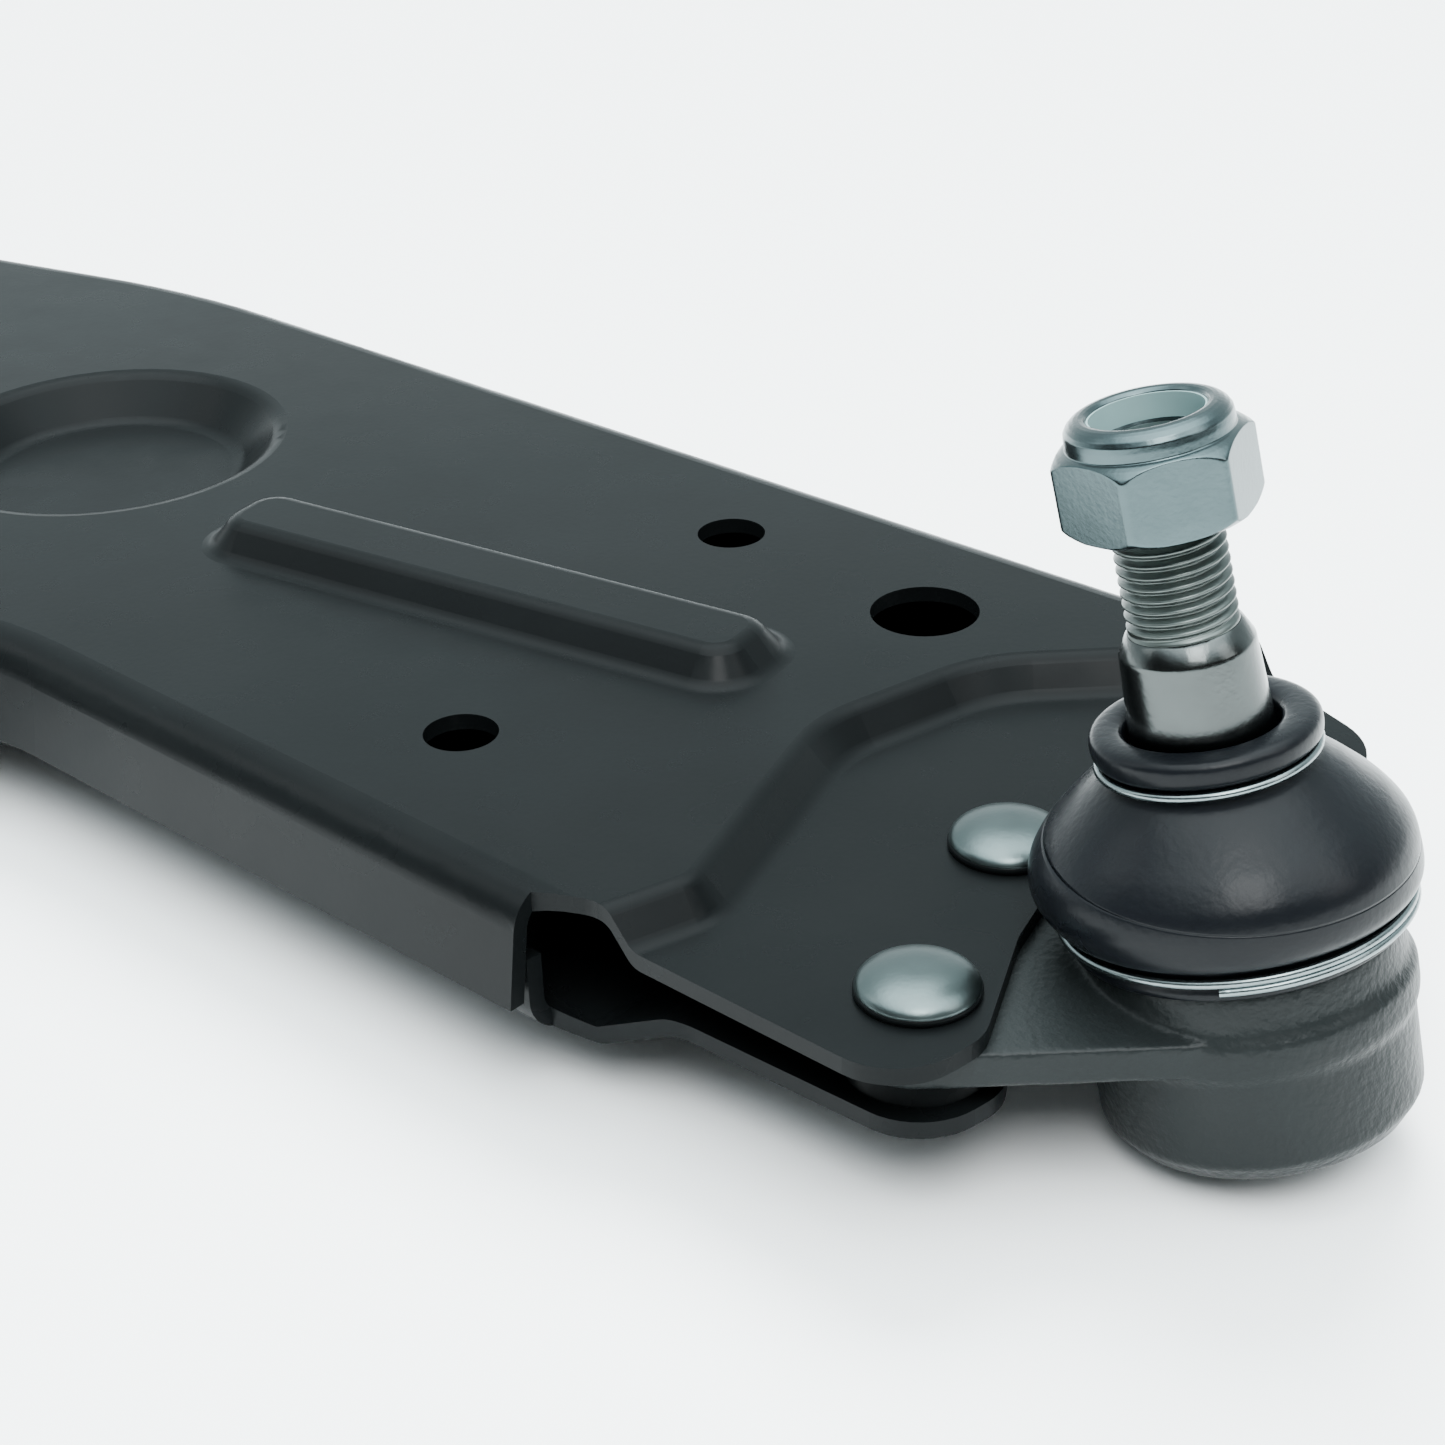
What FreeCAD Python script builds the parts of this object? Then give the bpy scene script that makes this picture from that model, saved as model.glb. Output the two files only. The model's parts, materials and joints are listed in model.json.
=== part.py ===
# Front suspension lower control arm: twin pressed shells, front and rear rubber bushes
# and a riveted ball joint. Origin at the centre of the front bush bore, +X outboard,
# +Y towards the front of the vehicle along the front bush, +Z up.
import FreeCAD, Part
import math
import os

V = FreeCAD.Vector

# pressed shells
SHEET = 2.5
PLATE_Z = 12.0
SKIRT_Z = PLATE_Z - 16.5
FLOOR_Z = PLATE_Z - 23.2
FLARE = math.tan(math.radians(8.0))
TOP_R = 6.0
STEP_DROP = 5.0
LAND_Z = PLATE_Z - STEP_DROP
FLANGE_TOP = LAND_Z - SHEET
FLANGE_T = 5.2
SADDLE_DROP = 3.0
PAD_R = 8.4
NEST_GAP = 0.4
LIP_Z = PLATE_Z - 10.5

# ball joint, measured along its own axis from the centre of the lower boot ring
RING = V(381.8, -19.9, PLATE_Z)
LEAN_X, LEAN_Y = -11.0, -1.0
SWING = 2.0
SWING_HEADING = 223.0
BALL_S = -13.0
BALL_R = 13.0
HOUSING_R = 20.9
NECK_R = 6.8
RIVETS = [(358.9, -55.7), (346.5, -20.7), (366.7, 10.0)]
RIVET_R = 4.5
RIVET_HEAD_R = 8.0
NUT_AF = 22.0
NUT_S = 52.4
NUT_TURN = 48.0
THREAD_R = 7.0
PITCH = 1.5

# bushes
EYE_R, EYE_WALL, EYE_HALF = 21.0, 2.5, 24.0
FRONT_BOLT_R = 6.1
REAR = V(5.0, -265.0, -3.3)
RING_R, RING_WALL, RING_HALF = 32.0, 3.0, 17.0
REAR_BOLT_R = 7.1

# holes in the top shell: x, y, radius
HOLES = [(258.9, 21.6, 5.45), (300.7, 19.0, 8.35), (272.6, -51.5, 5.45)]
DISH = (145.6, -17.4, 21.2)
DISH_DEPTH = 7.0
RIB = (243.5, -18.5, 104.0, 20.0, 4.8, 9.5)

# outlines: x, y, corner radius, counter-clockwise
ARM = [(430, 46.2, 0), (99, 42.8, 180), (22, 23, 40), (-8, 22, 0), (-8, -22, 0), (24, -22, 15),
       (66, -124, 55), (-20, -255.7, 0), (25, -281.6, 0), (160, -75, 80), (430, -79.5, 0)]
STEP_LINE = [(440, 120, 0), (370, 120, 0), (346, 37, 14), (319, 11, 22), (312.8, -16.5, 20),
             (327.2, -59, 9), (323, -73, 9), (323, -120, 0), (440, -120, 0)]
LANDING = [(310, 90, 0), (309, -75, 0), (318, -71.6, 5), (369.6, -72.6, 10), (371.2, -58, 8),
           (361.2, -38, 12), (355.5, -20, 16), (371, 12, 6), (375, 32, 13), (338, 45, 10), (329, 90, 0)]
LOWER_END = [(-80, 120, 0), (-80, -330, 0), (240, -330, 0), (309, -84, 0), (310, -72.5, 0),
             (331, -68.2, 12), (369.4, -67.6, 10), (371.2, -54, 8), (361.2, -38, 12), (355.5, -20, 16),
             (371, 8, 6), (374, 28, 11), (338, 42, 12), (322, 120, 0)]
RAMP_LINE = [(440, 120, 0), (350, 120, 0), (344, 33, 22), (325, 8, 26), (320, -16, 26),
             (328.5, -50, 22), (328.5, -120, 0), (440, -120, 0)]
RAMP_RUN = 11.0
RAMP_R = 4.0
LOBE_R, ROOT_R, SHOULDER_R = 10.5, 19.8, 21.7


def corner_wire(points, z, grow=0.0):
    """Closed outline with rounded corners, moved outward by grow."""
    n = len(points)
    p = [V(x, y, 0) for x, y, r in points]
    side = [(p[(i + 1) % n] - p[i]).normalize() for i in range(n)]
    out = [V(d.y, -d.x, 0) for d in side]
    marks = []
    for i in range(n):
        a, b = side[i - 1], side[i]
        turn = a.x * b.y - a.y * b.x
        bend = math.acos(max(-1.0, min(1.0, a.dot(b))))
        shift = (out[i - 1] + out[i]) * (grow / (1.0 + out[i - 1].dot(out[i])))
        c = p[i] + shift + V(0, 0, z)
        r = points[i][2]
        if r == 0:
            marks.append((c, None, c))
            continue
        r = r + grow if turn > 0 else r - grow
        t = r * math.tan(bend / 2)
        centre = (b - a).normalize()
        mid = c + centre * (r / math.cos(bend / 2) - r)
        marks.append((c - a * t, mid, c + b * t))
    edges = []
    for i in range(n):
        start, mid, end = marks[i]
        if mid is not None:
            edges.append(Part.Arc(start, mid, end).toShape())
        edges.append(Part.makeLine(end, marks[(i + 1) % n][0]))
    return Part.Wire(edges)


def prism(points, z0, z1, grow0=0.0, grow1=0.0):
    """Solid between two levels of one outline."""
    wires = [corner_wire(points, z0, grow0), corner_wire(points, z1, grow1)]
    return Part.makeLoft(wires, True, True)


def slab(z0, z1):
    """Block over the whole arm."""
    return Part.makeBox(700, 700, z1 - z0, V(-150, -450, z0))


def level_edges(shape, z, keep=None):
    """Edges lying at one height, optionally filtered by their midpoint."""
    found = []
    for e in shape.Edges:
        b = e.BoundBox
        if abs(b.ZMin - z) < 1e-4 and abs(b.ZMax - z) < 1e-4:
            m = e.valueAt((e.FirstParameter + e.LastParameter) / 2)
            if keep is None or keep(m):
                found.append(e)
    return found


def dip_tool(foot, z_low, z_high, spread, r_foot, r_rim):
    """Cutter for a pressed-down area: drafted walls, round foot and round rim."""
    body = foot(z_low, z_high + 0.5, spread * (z_high + 0.5 - z_low) / (z_high - z_low))
    tool = body.common(slab(z_low - 5, z_high)).fuse(slab(z_high, z_high + 12))
    tool = tool.removeSplitter()
    tool = tool.makeFillet(r_foot, level_edges(tool, z_low))
    inner = level_edges(tool, z_high, lambda m: -140 < m.x < 425 and abs(m.y) < 115)
    return tool.makeFillet(r_rim, inner)


def step_foot(z_low, z_high, spread):
    return prism(STEP_LINE, z_low, z_high, -1.6, spread - 1.6)


def dish_foot(z_low, z_high, spread):
    x, y, r = DISH
    return Part.makeCone(r + 2.0, r + 2.0 + spread, z_high - z_low, V(x, y, z_low))


def rib_body(z_low, inset):
    """Raised stiffening rib with drafted sides and rounded ends."""
    x, y, length, width, height, turn = RIB
    h, w = length / 2 - inset, width / 2 - inset
    foot = [(-h, -w, w * 0.8), (h, -w, w * 0.8), (h, w, w * 0.8), (-h, w, w * 0.8)]
    body = prism(foot, -1.0, height, 1.0, -4.0)
    body = body.makeFillet(3.0 - inset * 0.4, level_edges(body, height))
    body.rotate(V(0, 0, 0), V(0, 0, 1), turn)
    body.translate(V(x, y, z_low))
    return body


def upper_form(inset):
    """Solid under the outer (inset 0) or inner (inset SHEET) surface of the top pressing."""
    top = PLATE_Z - inset
    low = SKIRT_Z - 8
    form = prism(ARM, low, top, FLARE * (PLATE_Z - low) - inset, FLARE * inset - inset)
    sides = level_edges(form, top, lambda m: m.x > -4 and m.x < 425 and m.y > -262)
    form = form.makeFillet(TOP_R - inset * 0.9, sides)
    form = form.cut(dip_tool(dish_foot, top - DISH_DEPTH, top, 7.5, 3.5, 4.0))
    form = form.cut(dip_tool(step_foot, top - STEP_DROP, top, 4.2, 3.0, 3.0))
    form = form.fuse(rib_body(top, inset))
    x, y, length, width, height, turn = RIB
    foot = level_edges(form, top, lambda m: V(m.x - x, m.y - y, 0).Length < length / 2 + 4
                       and m.x > DISH[0] + 42)
    return form.makeFillet(3.0, foot)


def upper_shell():
    shell = upper_form(0.0).cut(upper_form(SHEET))
    shell = shell.common(slab(SKIRT_Z, PLATE_Z + 10))
    keep = Part.makeBox(500, 600, 60, V(-190, -450, -40))
    keep = keep.fuse(prism(LANDING, -40, 20).common(slab(FLANGE_TOP - 0.01, 20)))
    shell = shell.common(keep)
    cuts = [Part.makeCylinder(r, 30, V(x, y, PLATE_Z - 15)) for x, y, r in HOLES]
    cuts += [Part.makeCylinder(RIVET_R + 0.1, 30, V(x, y, -20)) for x, y in RIVETS]
    cuts += [eye_solid(), ring_solid()]
    for c in cuts:
        shell = shell.cut(c)
    return biggest(shell)


def raised(body, z_foot, z_top, shift, r_foot, r_top):
    """Lift the underside of a body beyond the ramp, with rounded ramp edges."""
    tool = prism(RAMP_LINE, z_foot, z_top, RAMP_RUN + shift, shift).fuse(slab(z_foot - 12, z_foot))
    tool = tool.removeSplitter()
    tool = tool.makeFillet(r_top, level_edges(tool, z_top))
    rim = level_edges(tool, z_foot, lambda m: -140 < m.x < 425 and abs(m.y) < 115)
    return body.cut(tool.makeFillet(r_foot, rim))


def lower_shell():
    out = FLARE * (PLATE_Z - LIP_Z) - SHEET - NEST_GAP
    outer = prism(ARM, FLOOR_Z, LIP_Z, out, out)
    inner = prism(ARM, FLOOR_Z + SHEET, LIP_Z + 1, out - SHEET, out - SHEET)
    sides = level_edges(outer, FLOOR_Z, lambda m: m.x > -4 and m.x < 425 and m.y > -262)
    outer = outer.makeFillet(TOP_R, sides)
    sides = level_edges(inner, FLOOR_Z + SHEET, lambda m: m.x > -4 and m.x < 425 and m.y > -262)
    inner = inner.makeFillet(TOP_R - SHEET, sides)
    under = FLANGE_TOP - FLANGE_T - SADDLE_DROP
    outer = raised(outer, FLOOR_Z, under - SHEET, 0.0, RAMP_R + SHEET, RAMP_R)
    inner = raised(inner, FLOOR_Z + SHEET, under, 0.8, RAMP_R, RAMP_R + SHEET)
    shell = outer.cut(inner)
    shell = shell.common(prism(LOWER_END, -60, 20))
    shell = shell.cut(slab(under, 30).common(prism(RAMP_LINE, -60, 30, 2.0, 2.0)))
    for x, y in RIVETS:
        pad = Part.makeCone(PAD_R + 1.6, PAD_R, SADDLE_DROP + 1.0, V(x, y, under - 1.0))
        well = Part.makeCone(PAD_R - 0.6, PAD_R - 2.0, SADDLE_DROP, V(x, y, under - SHEET))
        shell = shell.fuse(pad.common(prism(LOWER_END, -60, 20))).cut(well)
        shell = shell.cut(Part.makeCylinder(RIVET_R + 0.1, 60, V(x, y, -40)))
    return biggest(shell.cut(eye_solid()).cut(ring_solid()))


def biggest(shape):
    return max(shape.Solids, key=lambda s: s.Volume)


def eye_solid():
    return Part.makeCylinder(EYE_R, 80, V(0, -40, 0), V(0, 1, 0))


def ring_solid():
    return Part.makeCylinder(RING_R, 80, REAR - V(0, 0, 40))


def tube(r_out, r_in, half, centre, axis):
    start = centre - axis * half
    body = Part.makeCylinder(r_out, 2 * half, start, axis)
    return body.cut(Part.makeCylinder(r_in, 2 * half, start, axis))


def turned(profile, place=None):
    """Body of revolution about Z from (r, s) points, then placed."""
    pts = [V(r, 0, s) for r, s in profile]
    face = Part.Face(Part.makePolygon(pts + [pts[0]]))
    body = face.revolve(V(0, 0, 0), V(0, 0, 1), 360)
    if place is not None:
        body.Placement = place
    return body


def web(x0, y0, r0, x1, y1, r1, z, height):
    """Plate spanning two circles and their common tangents."""
    gap = math.hypot(x1 - x0, y1 - y0)
    heading = math.atan2(y1 - y0, x1 - x0)
    open_angle = math.acos((r0 - r1) / gap)
    pts = []
    for x, y, r, sign in ((x0, y0, r0, 1), (x1, y1, r1, 1), (x1, y1, r1, -1), (x0, y0, r0, -1)):
        turn = heading + sign * open_angle
        pts.append(V(x + r * math.cos(turn), y + r * math.sin(turn), z))
    plate = Part.Face(Part.makePolygon(pts + [pts[0]])).extrude(V(0, 0, height))
    plate = plate.fuse(Part.makeCylinder(r0, height, V(x0, y0, z)))
    return plate.fuse(Part.makeCylinder(r1, height, V(x1, y1, z)))


def ball_joint_frame():
    axis = V(math.tan(math.radians(LEAN_X)), math.tan(math.radians(LEAN_Y)), 1).normalize()
    return FreeCAD.Placement(RING, FreeCAD.Rotation(V(0, 0, 1), axis))


def housing(frame):
    """Forged body with flange; round pocket for the ball, flared mouth, groove for the boot."""
    body = turned([(0, -29.9), (18.8, -29.9), (20.4, -27.5), (HOUSING_R, -27.1), (HOUSING_R, -15.2),
                   (SHOULDER_R, -13.6), (SHOULDER_R, -9.6), (20.7, -8.4), (20.3, -3.4), (19.8, -2.6),
                   (19.8, 1.2), (18.8, 2.2), (0, 2.2)])
    body.Placement = frame
    low = FLANGE_TOP - FLANGE_T
    root = frame.multVec(V(0, 0, -10))
    for i in range(3):
        x0, y0 = RIVETS[i]
        x1, y1 = RIVETS[(i + 1) % 3]
        body = body.fuse(web(root.x, root.y, ROOT_R, x0, y0, LOBE_R, low, FLANGE_T))
        body = body.fuse(web(x0, y0, LOBE_R, x1, y1, LOBE_R, low, FLANGE_T))
    body = body.removeSplitter()
    hollow = turned([(0, -31), (17.9, -31), (17.9, -26.7), (16.8, -26.7), (16.8, -6.7), (11.7, -6.7),
                     (16.4, 3), (0, 3)], frame)
    body = body.cut(hollow)
    for x, y in RIVETS:
        body = body.cut(Part.makeCylinder(RIVET_R + 0.1, 60, V(x, y, -40)))
    return biggest(body)


def end_cap(frame):
    return turned([(0, -29.2), (17.9, -29.2), (17.9, -26.8), (12, -26.8), (11, -27.4), (0, -27.4)],
                  frame)


def seat(frame):
    body = turned([(0, -26.7), (16.8, -26.7), (16.8, -6.8), (0, -6.8)])
    body = body.cut(Part.makeSphere(BALL_R + 0.05, V(0, 0, BALL_S)))
    body = body.cut(Part.makeCylinder(7, 20, V(0, 0, -40)))
    body.Placement = frame
    return body


def stud_frame(frame):
    """The stud swings about the ball's centre, away from the housing's own axis."""
    heading = math.radians(SWING_HEADING)
    hinge = V(-math.sin(heading), math.cos(heading), 0)
    swing = FreeCAD.Rotation(hinge, SWING)
    centre = frame.multVec(V(0, 0, BALL_S))
    turn = swing.multiply(frame.Rotation)
    return FreeCAD.Placement(centre - turn.multVec(V(0, 0, BALL_S)), turn)


def stud(frame):
    neck = turned([(0, -13), (NECK_R, -13), (NECK_R, 8), (9.1, 21), (9.1, 24), (8.5, 35.6),
                   (7.2, 38.2), (0, 38.2)])
    body = neck.fuse(Part.makeSphere(BALL_R, V(0, 0, BALL_S)))
    body = body.cut(Part.makeCylinder(20, 10, V(0, 0, BALL_S - BALL_R - 8.9)))
    thread = []
    s = 38.2
    while s < 61.5:
        thread += [(THREAD_R - 0.75, s), (THREAD_R - 0.1, s + 0.6), (THREAD_R - 0.1, s + 0.9)]
        s += PITCH
    core = [(0, 38.2)] + thread + [(THREAD_R - 0.75, s), (5.6, s + 0.9), (0, s + 0.9)]
    body = body.fuse(turned(core))
    body.Placement = frame
    return biggest(body.removeSplitter())


def lock_nut(frame):
    corner = NUT_AF / math.sqrt(3)
    pts = [V(corner * math.cos(math.radians(60 * k)), corner * math.sin(math.radians(60 * k)), 0)
           for k in range(7)]
    hexa = Part.Face(Part.makePolygon(pts)).extrude(V(0, 0, 10.4))
    cone = turned([(0, 0), (10.6, 0), (13.4, 1.6), (13.4, 8.8), (10.4, 10.6), (0, 10.6)])
    collar = turned([(0, 9.5), (10.3, 9.5), (10.3, 12.4), (9.2, 13.9), (7.6, 13.9), (7.3, 13.4),
                     (0, 13.4)])
    body = hexa.common(cone).fuse(collar)
    body = body.cut(Part.makeCylinder(THREAD_R + 0.02, 30, V(0, 0, -5)))
    body = body.cut(tube(9.2, 6, 1.6, V(0, 0, 11.7), V(0, 0, 1)))
    body.rotate(V(0, 0, 0), V(0, 0, 1), NUT_TURN)
    body.Placement = frame.multiply(FreeCAD.Placement(V(0, 0, NUT_S), FreeCAD.Rotation()))
    return body


def nut_insert(frame):
    body = tube(9.2, THREAD_R + 0.02, 1.6, V(0, 0, NUT_S + 11.7), V(0, 0, 1))
    body.Placement = frame
    return body


def boot(frame):
    skin = [(20.1, -2.4), (21.85, -2.4), (21.85, 1.6), (23.4, 2.6), (24.2, 5), (24.1, 8.5), (22.4, 12),
            (17.6, 17.2), (14.2, 19.2), (13.5, 20.2), (13.5, 21.6), (14.6, 22.2), (14.6, 25.0),
            (13.8, 25.8), (9.8, 25.8), (9.4, 25.2), (9.4, 20.0), (12.2, 18.4), (16.0, 15.6),
            (20.6, 11.0), (22.2, 8.0), (22.2, 5.4), (21.6, 3.8), (20.1, 2.9)]
    body = turned(skin)
    heading = math.radians(SWING_HEADING)
    shift = V(math.cos(heading), math.sin(heading), 0) * 0.5
    body = body.cut(Part.makeCylinder(9.95, 20, V(0, 0, 18.8) + shift))
    body.Placement = frame
    return biggest(body)


def wire_ring(radius, wire_r, turns, s, frame):
    body = None
    for k in range(turns):
        coil = Part.makeTorus(radius, wire_r, V(0, 0, s + (k - (turns - 1) / 2) * wire_r * 1.8))
        body = coil if body is None else body.fuse(coil)
    body.Placement = frame
    return body


def rivet(x, y):
    """Round-head rivet through landing, flange and lower shell."""
    low = FLANGE_TOP - FLANGE_T - SHEET
    head = turned([(0, 0), (7.8, 0), (RIVET_HEAD_R + 0.1, 0.3), (RIVET_HEAD_R + 0.1, 1.1), (7.6, 1.9),
                   (6.2, 3.0), (4.0, 3.7), (0, 3.9)])
    head.translate(V(x, y, LAND_Z))
    shank = Part.makeCylinder(RIVET_R, LAND_Z + 0.5 - low, V(x, y, low - 0.5))
    tail = Part.makeCone(4.9, 6.0, 2.6, V(x, y, low - 2.6))
    return head.fuse(shank).fuse(tail).removeSplitter()


def bead(path_edge, radius):
    """Weld bead: a round section swept along one edge."""
    start = path_edge.valueAt(path_edge.FirstParameter)
    along = path_edge.tangentAt(path_edge.FirstParameter)
    ring = Part.Wire(Part.makeCircle(radius, start, along))
    return Part.Wire([path_edge]).makePipeShell([ring], True, True)


def front_bush():
    y = V(0, 1, 0)
    centre = V(0, 0, 0)
    r_cup = EYE_R - EYE_WALL
    rubber = tube(r_cup - 1.5, 10.05, EYE_HALF - 1.0, centre, y)
    for side in (-1, 1):
        lip = tube(r_cup + 1.2, 12.0, 1.2, V(0, side * (EYE_HALF + 1.3), 0), y)
        rubber = rubber.fuse(lip)
        neck = tube(r_cup - 1.5, 12.0, 1.2, V(0, side * EYE_HALF, 0), y)
        rubber = rubber.fuse(neck)
    return (tube(EYE_R, r_cup, EYE_HALF, centre, y), tube(r_cup, r_cup - 1.5, EYE_HALF, centre, y),
            rubber.removeSplitter(), tube(10.0, FRONT_BOLT_R, EYE_HALF + 5.0, centre, y))


def rear_bush():
    z = V(0, 0, 1)
    r_cup = RING_R - RING_WALL
    rubber = tube(r_cup - 1.5, 11.05, RING_HALF - 2.5, REAR, z)
    for turn in (90, 270):
        slot = tube(24.0, 16.5, RING_HALF, REAR, z)
        wedge = Part.makeCylinder(40, 60, REAR - V(0, 0, 30), z, 100)
        wedge.rotate(REAR, z, turn - 50)
        rubber = rubber.cut(slot.common(wedge))
    return (tube(RING_R, r_cup, RING_HALF, REAR, z), tube(r_cup, r_cup - 1.5, RING_HALF, REAR, z),
            rubber, tube(11.0, REAR_BOLT_R, RING_HALF + 1.0, REAR, z))


def eye_weld():
    """Fillet welds where the shells meet the front tube."""
    beads = []
    for z, r in ((PLATE_Z - 0.4, 2.6), (FLOOR_Z + 1.2, 2.2)):
        x = math.sqrt(EYE_R ** 2 - z ** 2) + 0.8
        line = Part.makeLine(V(x, -19.5, z), V(x, 19.5, z))
        beads.append(bead(line, r).cut(eye_solid()))
    return Part.makeCompound([biggest(b) for b in beads])


def ring_weld():
    """Fillet welds where the leg meets the rear ring."""
    beads = []
    for z, r in ((PLATE_Z - 0.4, 2.6), (FLOOR_Z + 1.2, 2.2)):
        arc = Part.makeCircle(RING_R + 0.8, V(REAR.x, REAR.y, z), V(0, 0, 1), 20, 93)
        beads.append(bead(arc, r).cut(ring_solid()))
    return Part.makeCompound([biggest(b) for b in beads])


def main():
    os.makedirs("parts", exist_ok=True)
    frame = ball_joint_frame()
    swung = stud_frame(frame)
    eye, front_outer, front_rubber, front_inner = front_bush()
    ring, rear_outer, rear_rubber, rear_inner = rear_bush()
    nodes = {
        "upper_shell": upper_shell(),
        "lower_shell": lower_shell(),
        "front_eye_tube": eye,
        "front_bush_outer_sleeve": front_outer,
        "front_bush_rubber": front_rubber,
        "front_bush_inner_sleeve": front_inner,
        "rear_bush_ring": ring,
        "rear_bush_outer_sleeve": rear_outer,
        "rear_bush_rubber": rear_rubber,
        "rear_bush_inner_sleeve": rear_inner,
        "front_eye_weld": eye_weld(),
        "rear_ring_weld": ring_weld(),
        "ball_joint_housing": housing(frame),
        "ball_joint_end_cap": end_cap(frame),
        "ball_seat": seat(frame),
        "ball_stud": stud(swung),
        "dust_boot": boot(frame),
        "boot_ring_lower": wire_ring(22.6, 0.7, 2, 0.0, frame),
        "boot_ring_upper": wire_ring(14.3, 0.75, 1, 20.9, frame),
        "ball_joint_rivets": Part.makeCompound([rivet(x, y) for x, y in RIVETS]),
        "lock_nut": lock_nut(swung),
        "nut_insert": nut_insert(swung),
    }
    for name, shape in nodes.items():
        shape.exportStep("parts/%s.step" % name)


main()
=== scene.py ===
import json
import math

import bpy
import numpy as np
from mathutils import Matrix, Vector

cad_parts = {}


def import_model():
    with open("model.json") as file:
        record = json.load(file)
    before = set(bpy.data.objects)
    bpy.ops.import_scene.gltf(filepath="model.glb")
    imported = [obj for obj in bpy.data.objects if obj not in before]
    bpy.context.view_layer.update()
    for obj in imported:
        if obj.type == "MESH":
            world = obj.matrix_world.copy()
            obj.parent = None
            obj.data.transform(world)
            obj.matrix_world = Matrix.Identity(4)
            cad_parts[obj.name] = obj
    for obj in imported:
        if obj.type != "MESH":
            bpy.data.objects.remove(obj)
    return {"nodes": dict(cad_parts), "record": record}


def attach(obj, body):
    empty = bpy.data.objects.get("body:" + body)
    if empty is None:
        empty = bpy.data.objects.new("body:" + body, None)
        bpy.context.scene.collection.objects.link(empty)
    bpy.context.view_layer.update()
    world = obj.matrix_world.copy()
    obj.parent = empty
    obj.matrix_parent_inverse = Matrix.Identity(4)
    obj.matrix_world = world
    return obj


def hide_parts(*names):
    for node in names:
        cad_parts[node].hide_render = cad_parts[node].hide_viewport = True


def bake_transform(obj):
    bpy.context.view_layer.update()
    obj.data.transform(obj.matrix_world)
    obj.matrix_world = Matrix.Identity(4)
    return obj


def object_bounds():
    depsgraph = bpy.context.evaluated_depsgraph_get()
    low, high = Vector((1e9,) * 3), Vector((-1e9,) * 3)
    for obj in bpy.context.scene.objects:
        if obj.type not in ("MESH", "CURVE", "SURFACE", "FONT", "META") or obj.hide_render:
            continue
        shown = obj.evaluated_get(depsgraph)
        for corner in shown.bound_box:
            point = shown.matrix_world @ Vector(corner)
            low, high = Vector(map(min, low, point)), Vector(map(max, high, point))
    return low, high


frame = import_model()
cad_low, cad_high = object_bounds()
nodes = frame["nodes"]

MM = 0.001
BUMP_DEPTH = 0.0005
PLATE_Z = 0.012
LAND_Z = PLATE_Z - 0.005
RING = Vector((0.3818, -0.0199, PLATE_Z))
REAR = Vector((0.005, -0.265, -0.0033))
BALL_S = -0.013
BALL_R = 13.0
NUT_S = 52.4
NUT_TURN = math.radians(48.0)
NUT_FLAT, NUT_CORNER = 11.0, 12.55
THREAD_PITCH, THREAD_R, THREAD_DEPTH = 1.5, 6.95, 0.88
THREAD_FIRST, THREAD_LAST = 38.2, 62.4
LEAN_HEADING = math.radians(223.0)
LEAN_ANGLE = math.radians(2.0)
LEAN_SHIFT = 0.95
AXIS = Vector((math.tan(math.radians(-11.0)), math.tan(math.radians(-1.0)), 1.0)).normalized()


def joint_matrix():
    """Ball joint frame: +Z along the stud, origin at the centre of the lower boot ring."""
    side = Vector((0, 1, 0)).cross(AXIS).normalized()
    up = AXIS.cross(side)
    m = Matrix((side, up, AXIS)).transposed().to_4x4()
    m.translation = RING
    return m


JOINT = joint_matrix()


def shader(name):
    """A node material and its main shader."""
    m = bpy.data.materials.new(name)
    m.use_nodes = True
    return m, m.node_tree, m.node_tree.nodes["Principled BSDF"]


def link(tree, a, out, b, inp):
    tree.links.new(a.outputs[out], b.inputs[inp])


def noise(tree, scale, detail=4.0):
    n = tree.nodes.new("ShaderNodeTexNoise")
    n.inputs["Scale"].default_value = scale
    n.inputs["Detail"].default_value = detail
    co = tree.nodes.new("ShaderNodeTexCoord")
    link(tree, co, "Object", n, "Vector")
    return n


def ramp(tree, source, out, stops):
    """Colour ramp through (position, colour) stops."""
    r = tree.nodes.new("ShaderNodeValToRGB")
    r.color_ramp.elements[0].position = stops[0][0]
    r.color_ramp.elements[0].color = (*stops[0][1], 1)
    r.color_ramp.elements[1].position = stops[-1][0]
    r.color_ramp.elements[1].color = (*stops[-1][1], 1)
    for p, c in stops[1:-1]:
        e = r.color_ramp.elements.new(p)
        e.color = (*c, 1)
    link(tree, source, out, r, "Fac")
    return r


def bump(tree, p, source, out, strength):
    b = tree.nodes.new("ShaderNodeBump")
    b.inputs["Strength"].default_value = strength
    b.inputs["Distance"].default_value = BUMP_DEPTH
    link(tree, source, out, b, "Height")
    link(tree, b, "Normal", p, "Normal")


def paint(name, tone, rough, grain, gloss):
    """Satin coat, cloudy in tone and roughness, with a fine grain."""
    m, t, p = shader(name)
    n = noise(t, 35.0)
    c = ramp(t, n, "Fac", [(0.3, tone), (0.75, tuple(v * 1.25 for v in tone))])
    link(t, c, "Color", p, "Base Color")
    n2 = noise(t, 90.0)
    r = ramp(t, n2, "Fac", [(0.25, (rough,) * 3), (0.8, (rough + 0.12,) * 3)])
    link(t, r, "Color", p, "Roughness")
    p.inputs["Specular IOR Level"].default_value = gloss
    bump(t, p, noise(t, 900.0, 2.0), "Fac", grain)
    return m


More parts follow.
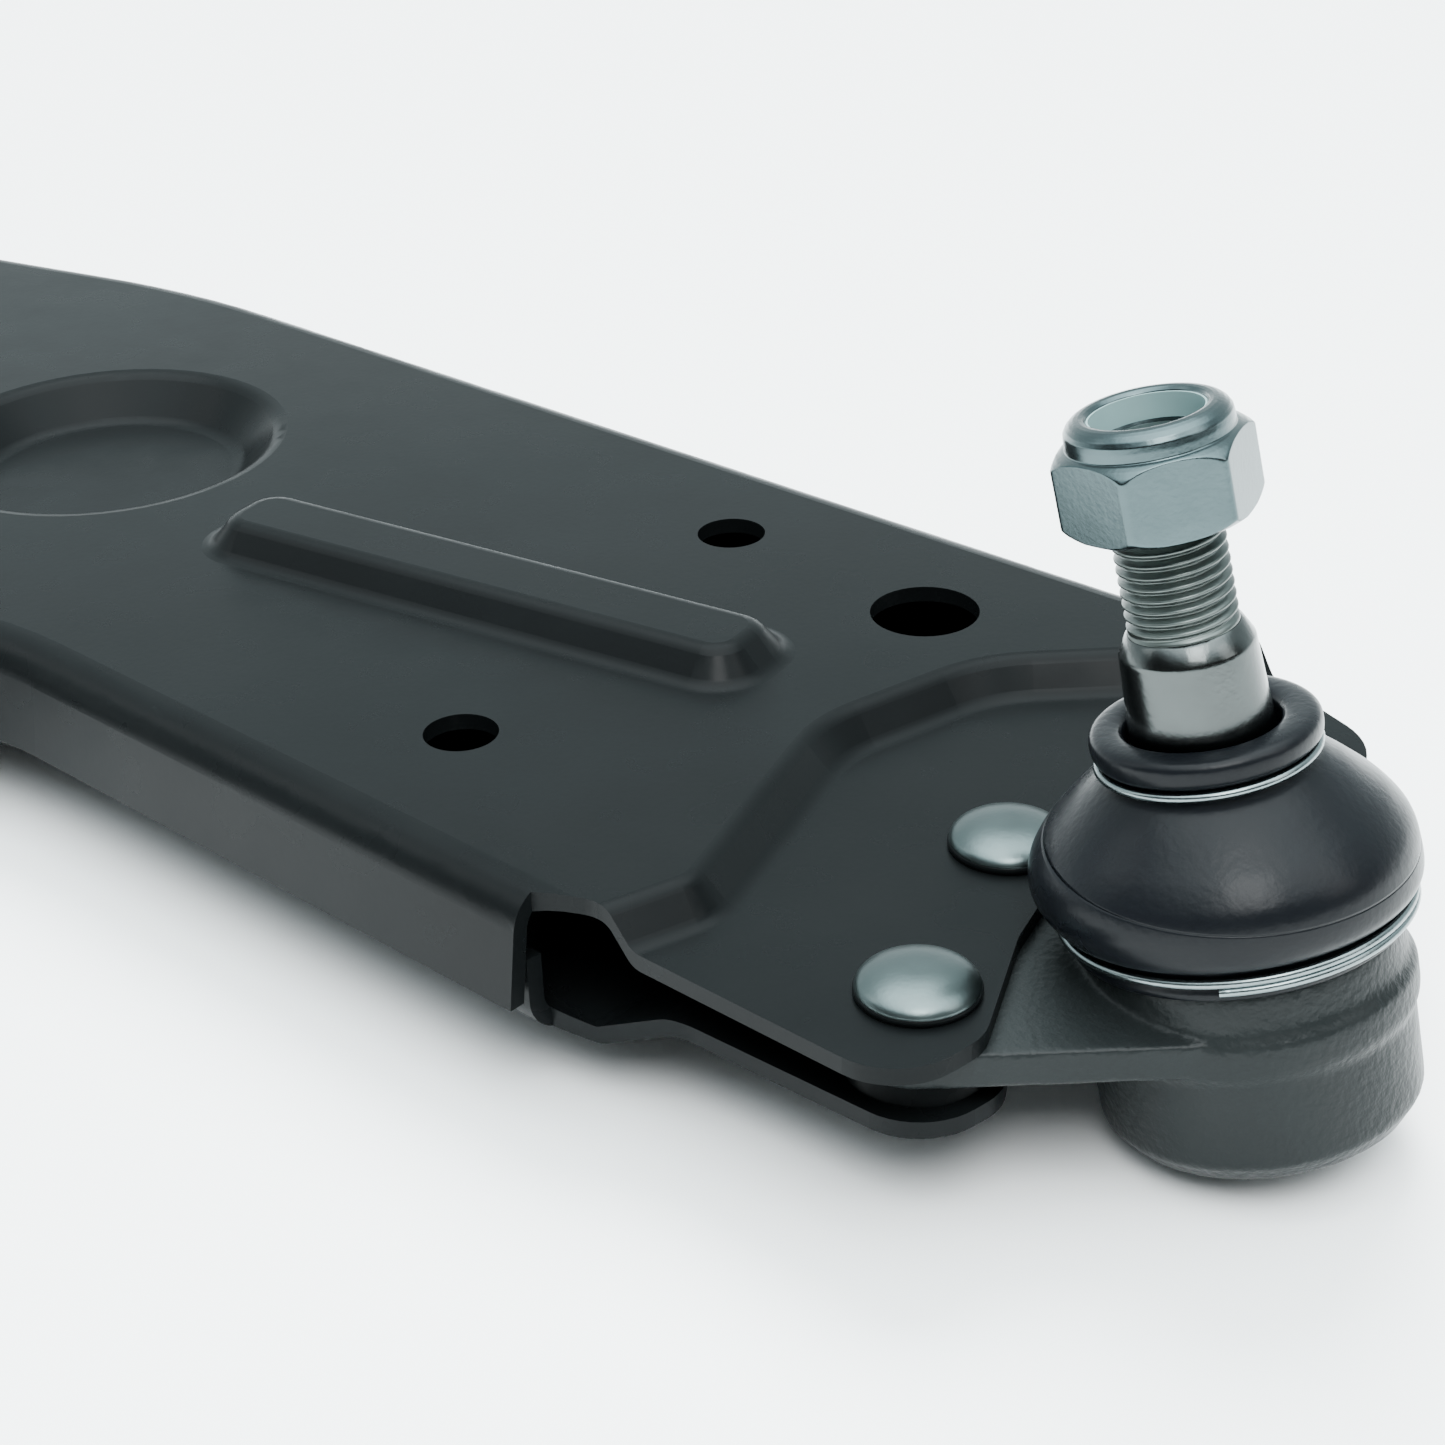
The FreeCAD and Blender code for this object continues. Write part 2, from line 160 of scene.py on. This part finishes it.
def steel(name, tone, rough, grain=0.05):
    """Bare or plated metal."""
    m, t, p = shader(name)
    n = noise(t, 160.0)
    c = ramp(t, n, "Fac", [(0.3, tuple(v * 0.85 for v in tone)), (0.7, tone)])
    link(t, c, "Color", p, "Base Color")
    p.inputs["Metallic"].default_value = 1.0
    p.inputs["Roughness"].default_value = rough
    bump(t, p, noise(t, 1400.0, 3.0), "Fac", grain)
    return m


def plain(name, tone, rough):
    """Smooth plastic."""
    m, t, p = shader(name)
    n = noise(t, 120.0)
    c = ramp(t, n, "Fac", [(0.3, tuple(v * 0.9 for v in tone)), (0.7, tone)])
    link(t, c, "Color", p, "Base Color")
    p.inputs["Roughness"].default_value = rough
    return m


MATS = {
    "shell_black": paint("shell_black", (0.003, 0.0036, 0.0038), 0.24, 0.02, 0.058),
    "housing_black": paint("housing_black", (0.009, 0.0108, 0.011), 0.3, 0.35, 0.1),
    "sleeve_steel": steel("sleeve_steel", (0.5, 0.51, 0.52), 0.3),
    "bush_rubber": paint("bush_rubber", (0.008, 0.0085, 0.009), 0.45, 0.03, 0.15),
    "seat_plastic": plain("seat_plastic", (0.7, 0.69, 0.62), 0.5),
    "stud_steel": steel("stud_steel", (0.064, 0.071, 0.07), 0.2),
    "boot_rubber": paint("boot_rubber", (0.003, 0.0036, 0.0046), 0.24, 0.10, 0.11),
    "ring_steel": steel("ring_steel", (0.17, 0.205, 0.21), 0.25),
    "thread_steel": steel("thread_steel", (0.09, 0.105, 0.1), 0.36),
    "rivet_steel": steel("rivet_steel", (0.095, 0.122, 0.122), 0.33),
    "zinc_plate": steel("zinc_plate", (0.064, 0.089, 0.093), 0.26),
    "insert_nylon": plain("insert_nylon", (0.18, 0.28, 0.28), 0.4),
}

for part in frame["record"]["subparts"]:
    ob = nodes[part["node"]]
    ob.data.materials.clear()
    ob.data.materials.append(MATS[part["material_slot"]])
    for poly in ob.data.polygons:
        poly.use_smooth = True


def swung_matrix():
    """Stud frame: the joint frame swung a little about the ball's centre."""
    hinge = Vector((-math.sin(LEAN_HEADING), math.cos(LEAN_HEADING), 0))
    centre = RING + AXIS * BALL_S
    turn = Matrix.Rotation(LEAN_ANGLE, 4, hinge)
    return Matrix.Translation(centre) @ turn @ Matrix.Translation(-centre) @ JOINT


def collar_matrix():
    """Boot collar frame: the joint frame drawn sideways by the leaning stud."""
    shift = Vector((math.cos(LEAN_HEADING), math.sin(LEAN_HEADING), 0)) * LEAN_SHIFT * MM
    return Matrix.Translation(shift) @ JOINT


SWUNG = swung_matrix()
COLLAR = collar_matrix()


def add_mesh(name, points, faces, material, smooth=True):
    me = bpy.data.meshes.new(name)
    me.from_pydata([tuple(p) for p in points], [], [tuple(f) for f in faces])
    me.update()
    ob = bpy.data.objects.new(name, me)
    bpy.context.scene.collection.objects.link(ob)
    me.materials.append(MATS[material])
    for poly in me.polygons:
        poly.use_smooth = smooth
    return ob


def place(grid, matrix):
    """Grid of local points in millimetres to world points in metres."""
    m = np.array(matrix)
    return (grid * MM) @ m[:3, :3].T + m[:3, 3]


def grid_faces(rows, cols, closed_rows=False):
    """Quads over rows of points, each row a closed ring."""
    faces = []
    for i in range(rows if closed_rows else rows - 1):
        k = (i + 1) % rows
        for j in range(cols):
            n = (j + 1) % cols
            faces.append((i * cols + j, i * cols + n, k * cols + n, k * cols + j))
    return faces


def curve(points, per=6):
    """Smooth line through (r, s) points; a repeated point makes a crisp corner."""
    out = []
    p = [np.array(q, float) for q in points]
    for i in range(len(p) - 1):
        a, b = p[i], p[i + 1]
        if np.allclose(a, b):
            continue
        before = a - (b - a) if i == 0 or np.allclose(p[i - 1], a) else p[i - 1]
        after = b + (b - a) if i + 2 >= len(p) or np.allclose(p[i + 2], b) else p[i + 2]
        for t in np.linspace(0, 1, per, endpoint=False):
            c = 2 * a + (b - before) * t + (2 * before - 5 * a + 4 * b - after) * t ** 2
            c = c + (3 * a - before - 3 * b + after) * t ** 3
            out.append(c / 2)
    out.append(p[-1])
    return out


def ring_points(r, h, ang):
    """One ring of points; r may be a number or one radius for each angle."""
    return np.stack([r * np.cos(ang), r * np.sin(ang), np.full(len(ang), h)], 1)


def lathe(name, profile, matrix, material, segs):
    """Turned body from (r, s) points."""
    ang = np.linspace(0, 2 * math.pi, segs, endpoint=False)
    rows = [ring_points(r, h, ang) for r, h in profile]
    return add_mesh(name, place(np.concatenate(rows), matrix), grid_faces(len(rows), segs), material)


# outer skin of the boot from the lower lip to the collar, as (r, s)
BOOT_OUT = [(20.9, -2.6), (21.6, -2.5), (21.9, -1.8), (21.7, -1.0), (21.5, 0.0), (21.7, 1.0), (22.4, 1.7),
            (23.1, 2.0), (23.9, 3.2), (24.4, 5.0), (24.5, 6.8), (24.2, 8.6), (23.4, 10.4), (21.6, 12.8),
            (19.3, 15.1), (16.9, 17.3), (14.8, 18.9), (13.6, 19.7), (13.1, 20.4), (13.1, 21.3),
            (13.4, 21.9), (14.0, 22.3), (14.4, 23.0), (14.45, 24.5), (14.0, 25.3), (13.1, 25.7),
            (11.6, 25.8), (10.5, 25.6), (9.95, 25.1)]
# inner skin of the boot from the collar down to the lower lip
BOOT_IN = [(9.8, 24.4), (9.8, 20.4), (10.6, 19.4), (13.0, 18.0), (17.4, 13.9), (20.8, 10.8), (22.5, 8.6),
           (22.8, 6.8), (22.6, 5.0), (21.8, 3.4), (20.2, 2.6), (20.1, -2.3)]
BOOT_SEGS = 192
SKIN_STEPS = 12
SLOPE, LEVEL = 0.159, 9.87


FLAT = 1 / math.sqrt(1 + SLOPE ** 2)
PARTING = (AXIS + JOINT.to_3x3() @ Vector((SLOPE, 0, 0))) * FLAT


def lean(ring, r, h, ang):
    """The leaning stud draws the shoulder and the collar to one side."""
    k = np.clip((h - 1.0) / 6.0, 0, 1)
    k = LEAN_SHIFT * k * k * (3 - 2 * k)
    k += 0.3 * np.clip((h - 18.0) / 3.0, 0, 1) * np.clip((13.0 - r) / 3.0, 0, 1)
    swell = 1 + 0.06 / np.maximum(r, 1) * np.sin(3 * ang + h * 0.3)
    ring[:, 0] = ring[:, 0] * swell + k * math.cos(LEAN_HEADING)
    ring[:, 1] = ring[:, 1] * swell + k * math.sin(LEAN_HEADING)
    return ring


def parted(line, first, last, ang, low, top):
    """Line resampled by angle in two runs that meet on the sloping plane where the boot is parted."""
    r, h = np.array(line).T
    u = np.arange(len(line), dtype=float)
    runs = []
    for a in ang:
        level = h[first:last] + SLOPE * r[first:last] * math.cos(a)
        cut = np.interp(LEVEL, level, u[first:last])
        steps = np.concatenate([np.linspace(0, cut, low), np.linspace(cut, u[-1], top)])
        runs.append((np.interp(steps, u, r), np.interp(steps, u, h)))
    return [(np.array([run[0][k] for run in runs]), np.array([run[1][k] for run in runs]))
            for k in range(low + top)]


def skin(name, rows, ang):
    """One half of the boot from its rows of radii and heights."""
    grid = [lean(ring_points(r, h, ang), r, h, ang) for r, h in rows]
    points = place(np.concatenate(grid), JOINT)
    return add_mesh(name, points, grid_faces(len(rows), len(ang), True), "boot_rubber")


def flat_rims(ob):
    """Cut rims where the two halves of the boot meet keep the skin's own shading."""
    for poly in ob.data.polygons:
        if abs(poly.normal.dot(PARTING)) > 0.995:
            if abs((poly.center - RING).dot(PARTING) / MM - LEVEL * FLAT) < 0.05:
                poly.use_smooth = False


def boot():
    """Rubber boot in two halves, parted on a plane that is higher over the middle rivet."""
    ang = np.linspace(0, 2 * math.pi, BOOT_SEGS, endpoint=False)
    out_low, out_top, in_low, in_top = 67, 109, 31, 37
    out = parted(curve(BOOT_OUT, SKIN_STEPS), 7 * SKIN_STEPS, 17 * SKIN_STEPS, ang, out_low, out_top)
    inn = parted(curve(BOOT_IN[::-1], SKIN_STEPS), 2 * SKIN_STEPS, 9 * SKIN_STEPS, ang, in_low, in_top)
    lower = skin("boot_skirt", out[:out_low] + inn[:in_low][::-1], ang)
    upper = skin("boot_shoulder", out[out_low:] + inn[in_low:][::-1], ang)
    for ob in (lower, upper):
        flat_rims(ob)
        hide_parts("dust_boot")
    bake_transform(lower)
    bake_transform(upper)


def coil(name, radius, wire, turns, low, start, material, matrix):
    """Wound wire ring with plain cut ends."""
    n, m = int(96 * turns), 12
    rows = []
    for i in range(n + 1):
        a = start + 2 * math.pi * turns * i / n
        rise = low + wire * 1.85 * turns * i / n
        out = np.array([math.cos(a), math.sin(a), 0])
        for j in range(m):
            b = 2 * math.pi * j / m
            rows.append(out * (radius + wire * math.cos(b))
                        + np.array([0, 0, rise + wire * math.sin(b)]))
    faces = grid_faces(n + 1, m)
    faces += [tuple(range(m)), tuple(range(n * m + m - 1, n * m - 1, -1))]
    return add_mesh(name, place(np.array(rows), matrix), faces, material)


def rings():
    """Wire rings that clamp the boot on the housing and under its collar."""
    lower = coil("lower_ring_wire", 22.3, 0.62, 1.6, -1.0, math.radians(-62), "ring_steel", JOINT)
    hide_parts("boot_ring_lower")
    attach(lower, "arm")
    upper = coil("upper_ring_wire", 13.75, 0.62, 1.04, 20.3, math.radians(100), "ring_steel", COLLAR)
    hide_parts("boot_ring_upper")
    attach(upper, "boot_collar")


def thread_rows(segs):
    """Rings up the thread, fading out at its foot and chamfered at its tip."""
    ang = np.linspace(0, 2 * math.pi, segs, endpoint=False)
    rows = []
    for h in np.arange(THREAD_FIRST, THREAD_LAST + 0.01, 0.125):
        above, below = h - THREAD_FIRST, THREAD_LAST - h
        f = (h / THREAD_PITCH - ang / (2 * math.pi)) % 1.0
        tooth = np.clip(np.abs(f - 0.5) * 2.4 - 0.2, 0, 1)
        fade = min(1.0, max(0.0, above / 1.2)) * min(1.0, max(0.0, below / 1.4))
        chamfer = 0.9 * (1 - min(1.0, below / 1.2))
        rows.append(ring_points(THREAD_R - THREAD_DEPTH * tooth * fade - chamfer, h, ang))
    return rows + [ring_points(r, THREAD_LAST + 0.1, ang) for r in (5.2, 0.01)]


def stud():
    """Ball, neck, ground taper and a real helical thread."""
    centre = BALL_S / MM
    arcs = np.linspace(-0.5, 1.02, 40) * math.pi / 2 * 0.98
    prof = [(BALL_R * math.cos(a), centre + BALL_R * math.sin(a)) for a in arcs]
    prof = [(r, h) for r, h in prof if not (h > centre and r < 6.9)]
    prof = [(0.01, prof[0][1])] + prof
    prof += curve([(6.8, -1.5), (6.8, 4), (6.8, 8), (7.3, 14), (8.6, 20), (9.1, 22), (9.1, 24)], 4)
    prof += [(8.52, 35.2), (8.5, 35.6), (8.4, 35.9), (7.35, 37.9), (7.0, 38.15)]
    body = lathe("stud_body", prof, SWUNG, "stud_steel", 128)
    rows = thread_rows(120)
    thread = add_mesh("stud_thread", place(np.concatenate(rows), SWUNG),
                      grid_faces(len(rows), 120), "thread_steel")
    for ob in (body, thread):
        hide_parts("ball_stud")
        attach(ob, "stud")


def nut():
    """Lock nut: hexagon softened at its corners, chamfered, with a rolled collar."""
    segs = 240
    ang = np.linspace(0, 2 * math.pi, segs, endpoint=False)
    local = (ang - NUT_TURN) % (math.pi / 3) - math.pi / 6
    hexa = np.minimum(NUT_FLAT / np.cos(local), NUT_CORNER)
    lines = [(0, 10.4), (0.15, 11.2), (0.7, 12.0), (1.5, 12.8), (8.4, 12.9), (9.3, 12.2), (9.9, 11.5),
             (10.3, 10.75), (10.45, 10.35), (11.6, 10.3), (12.4, 10.2), (13.0, 9.85), (13.5, 9.3),
             (13.8, 8.7), (13.9, 8.1), (13.8, 7.6), (13.4, 7.25)]
    dense = []
    for (h0, r0), (h1, r1) in zip(lines, lines[1:]):
        for t in np.linspace(0, 1, 5, endpoint=False):
            dense.append((h0 * (1 - t) + h1 * t, r0 * (1 - t) + r1 * t))
    dense.append(lines[-1])
    dense += [(12.0, 7.2), (11.9, 7.05), (0.6, 7.05), (0, 7.7)]
    rows = []
    for h, r in dense:
        turned = r < 9.99 or h > 10.44
        rows.append(ring_points(r if turned else np.minimum(hexa, r), h + NUT_S, ang))
    ob = add_mesh("nut_body", place(np.concatenate(rows), SWUNG),
                  grid_faces(len(rows), segs, True), "zinc_plate")
    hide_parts("lock_nut")
    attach(ob, "stud")


RIVETS = [(358.9, -55.7), (346.5, -20.7), (366.7, 10.0)]


def rivets():
    """Bare domed heads on a painted rim, set tails underneath."""
    dome = [(8.05, 1.0), (7.98, 1.35), (7.6, 1.95), (6.9, 2.5), (5.9, 3.0), (4.4, 3.5), (2.4, 3.85),
            (0.01, 3.95)]
    rim = [(7.3, 0.0), (7.9, 0.05), (8.15, 0.3), (8.2, 0.7), (8.1, 1.0), (7.9, 1.1), (7.0, 1.1)]
    tail = [(0.01, -12.7), (4.2, -12.7), (5.2, -12.4), (5.8, -11.6), (5.9, -10.7), (5.5, -10.25),
            (4.5, -10.2), (4.5, 0.0)]
    for k, (x, y) in enumerate(RIVETS):
        m = Matrix.Translation(Vector((x * MM, y * MM, LAND_Z)))
        top = lathe("rivet_head_%d" % k, curve(dome, 4), m, "rivet_steel", 72)
        low = lathe("rivet_rim_%d" % k, curve(rim, 3), m, "shell_black", 72)
        end = lathe("rivet_tail_%d" % k, curve(tail, 2), m, "housing_black", 48)
        for ob in (top, low, end):
            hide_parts("ball_joint_rivets")
            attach(ob, "arm")


def sector(name, inner, outer, half, first, last):
    """Block of rubber round the rear bush, between two radii and two angles."""
    segs = max(8, int((last - first) / 2.5))
    ang = np.radians(np.linspace(first, last, segs + 1))
    edge = ((inner + 0.4, -half), (outer - 0.4, -half), (outer, 0.4 - half), (outer, half - 0.4),
            (outer - 0.4, half), (inner + 0.4, half), (inner, half - 0.4), (inner, 0.4 - half))
    rows = [np.stack([[r * math.cos(a), r * math.sin(a), h] for r, h in edge]) for a in ang]
    full = last - first == 360
    if full:
        rows = rows[:-1]
    faces = grid_faces(len(rows), len(edge), full)
    if not full:
        faces += [tuple(range(len(edge)))[::-1], tuple(range(segs * len(edge), (segs + 1) * len(edge)))]
    ob = add_mesh(name, place(np.concatenate(rows), Matrix.Translation(REAR)), faces, "bush_rubber", False)
    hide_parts("rear_bush_rubber")
    return ob


def rear_rubber():
    """Bonded layers on both sleeves, joined by two webs."""
    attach(sector("rear_rubber_hub", 11.05, 16.6, 14.5, 0, 360), "rear_sleeve")
    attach(sector("rear_rubber_rim", 23.9, 27.5, 14.5, 0, 360), "arm")
    for middle in (-20, 20, 160, 200):
        web = sector("rear_rubber_web_%d" % middle, 16.5, 24.0, 14.5, middle - 20, middle + 20)
        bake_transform(web)


def smooth_copy(node, voxel, rounds, body, material):
    """Soft-edged skin over a forged or pressed node."""
    src = nodes[node]
    ob = bpy.data.objects.new(node + "_skin", src.data.copy())
    bpy.context.scene.collection.objects.link(ob)
    ob.data.materials.clear()
    ob.data.materials.append(MATS[material])
    re = ob.modifiers.new("remesh", "REMESH")
    re.mode = "VOXEL"
    re.voxel_size = voxel * MM
    re.use_smooth_shade = True
    sm = ob.modifiers.new("smooth", "SMOOTH")
    sm.factor, sm.iterations = 0.5, rounds
    dg = bpy.context.evaluated_depsgraph_get()
    me = bpy.data.meshes.new_from_object(ob.evaluated_get(dg))
    ob.modifiers.clear()
    ob.data = me
    for poly in me.polygons:
        poly.use_smooth = True
    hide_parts(node)
    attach(ob, body)


def camera():
    """Long lens, low three-quarter view of the ball joint end."""
    cam = bpy.data.cameras.new("camera")
    ob = bpy.data.objects.new("camera", cam)
    bpy.context.scene.collection.objects.link(ob)
    tilt, roll, turn = math.radians(29.0), math.radians(2.2), math.radians(43.0)
    ahead = Vector((-math.sin(turn), math.cos(turn), 0))
    right = Vector((math.cos(turn), math.sin(turn), 0))
    look = ahead * math.cos(tilt) + Vector((0, 0, -math.sin(tilt)))
    down = ahead * -math.sin(tilt) + Vector((0, 0, -math.cos(tilt)))
    ix = right * math.cos(roll) + down * math.sin(roll)
    iy = down * math.cos(roll) - right * math.sin(roll)
    m = Matrix((ix, -iy, -look)).transposed().to_4x4()
    m.translation = Vector((0.54593, -0.2900, 0.212))
    ob.matrix_world = m
    cam.sensor_width = 36.0
    cam.lens = 72.25
    cam.clip_start = 0.01
    cam.clip_end = 20
    bpy.context.scene.camera = ob


def area_light(name, spot, target, size, power):
    data = bpy.data.lights.new(name, "AREA")
    data.shape = "RECTANGLE"
    data.size, data.size_y = size
    data.energy = power
    ob = bpy.data.objects.new(name, data)
    bpy.context.scene.collection.objects.link(ob)
    ob.location = spot
    ob.rotation_mode = "QUATERNION"
    ob.rotation_quaternion = (Vector(target) - Vector(spot)).to_track_quat("-Z", "Y")


def overhead():
    """Wide soft light from above and beyond, for the pale floor and the shadow on the near side."""
    data = bpy.data.lights.new("overhead", "SUN")
    data.energy = 9.4
    data.angle = math.radians(32.0)
    data.color = (0.97, 1.0, 1.0)
    ob = bpy.data.objects.new("overhead", data)
    bpy.context.scene.collection.objects.link(ob)
    heading, height = math.radians(133.0), math.radians(52.0)
    source = Vector((math.cos(heading) * math.cos(height), math.sin(heading) * math.cos(height),
                     math.sin(height)))
    ob.rotation_mode = "QUATERNION"
    ob.rotation_quaternion = (-source).to_track_quat("-Z", "Y")
    ob.visible_glossy = False


def world():
    """Studio surround: pale beyond the part, darker on the near side, lit towards the top."""
    w = bpy.data.worlds.new("studio")
    bpy.context.scene.world = w
    w.use_nodes = True
    t = w.node_tree
    bg = t.nodes["Background"]
    co = t.nodes.new("ShaderNodeTexCoord")
    split = t.nodes.new("ShaderNodeSeparateXYZ")
    link(t, co, "Generated", split, "Vector")
    far = ramp(t, split, "Z", [(0.0, (2.4, 2.6, 2.65)), (0.1, (2.2, 2.45, 2.5)), (0.24, (1.38, 1.62, 1.67)),
                               (0.6, (1.26, 1.5, 1.54)), (0.73, (1.3, 1.5, 1.54)),
                               (0.87, (6.0, 6.8, 7.0)), (1.0, (8.5, 9.4, 9.6))])
    near = ramp(t, split, "Z", [(0.0, (0.14, 0.15, 0.15)), (0.14, (0.08, 0.08, 0.08)),
                                (0.52, (0.12, 0.13, 0.13)),
                                (0.68, (1.6, 1.8, 1.87)), (0.82, (5.5, 6.2, 6.4)),
                                (1.0, (8.5, 9.4, 9.6))])
    dot = t.nodes.new("ShaderNodeVectorMath")
    dot.operation = "DOT_PRODUCT"
    dot.inputs[1].default_value = (-0.34, 0.366, 0.0)
    link(t, co, "Generated", dot, 0)
    half = t.nodes.new("ShaderNodeMath")
    half.operation = "ADD"
    half.inputs[1].default_value = 0.5
    link(t, dot, "Value", half, 0)
    side = ramp(t, half, "Value", [(0.42, (0, 0, 0)), (0.62, (1, 1, 1))])
    mix = t.nodes.new("ShaderNodeMix")
    mix.data_type = "RGBA"
    t.links.new(side.outputs["Color"], mix.inputs[0])
    t.links.new(near.outputs["Color"], mix.inputs[6])
    t.links.new(far.outputs["Color"], mix.inputs[7])
    t.links.new(mix.outputs[2], bg.inputs["Color"])
    bg.inputs["Strength"].default_value = 1.0


def floor():
    """Plain pale floor just under the part."""
    z = cad_low.z - 0.0002
    me = bpy.data.meshes.new("floor")
    me.from_pydata([(-4, -4, z), (5, -4, z), (5, 5, z), (-4, 5, z)], [], [(0, 1, 2, 3)])
    ob = bpy.data.objects.new("floor", me)
    bpy.context.scene.collection.objects.link(ob)
    m, t, p = shader("floor")
    p.inputs["Base Color"].default_value = (0.92, 0.93, 0.93, 1)
    p.inputs["Roughness"].default_value = 0.8
    ob.data.materials.append(m)


boot()
rings()
stud()
nut()
rivets()
rear_rubber()
smooth_copy("ball_joint_housing", 0.55, 10, "arm", "housing_black")
camera()
world()
floor()
overhead()
area_light("strip", (0.2, -0.1, 1.5), (0.2, -0.1, 0), (2.4, 0.12), 1.2)
area_light("left_card", (-0.5, -0.55, 0.7), (0.37, -0.02, 0.03), (0.4, 0.4), 1.1)
area_light("right_card", (1.0, 0.15, 0.5), (0.37, -0.02, 0.05), (0.3, 0.5), 1.8)
area_light("back_card", (0.84, -0.52, 0.98), (0.34, -0.03, 0.01), (0.5, 0.6), 12.0)
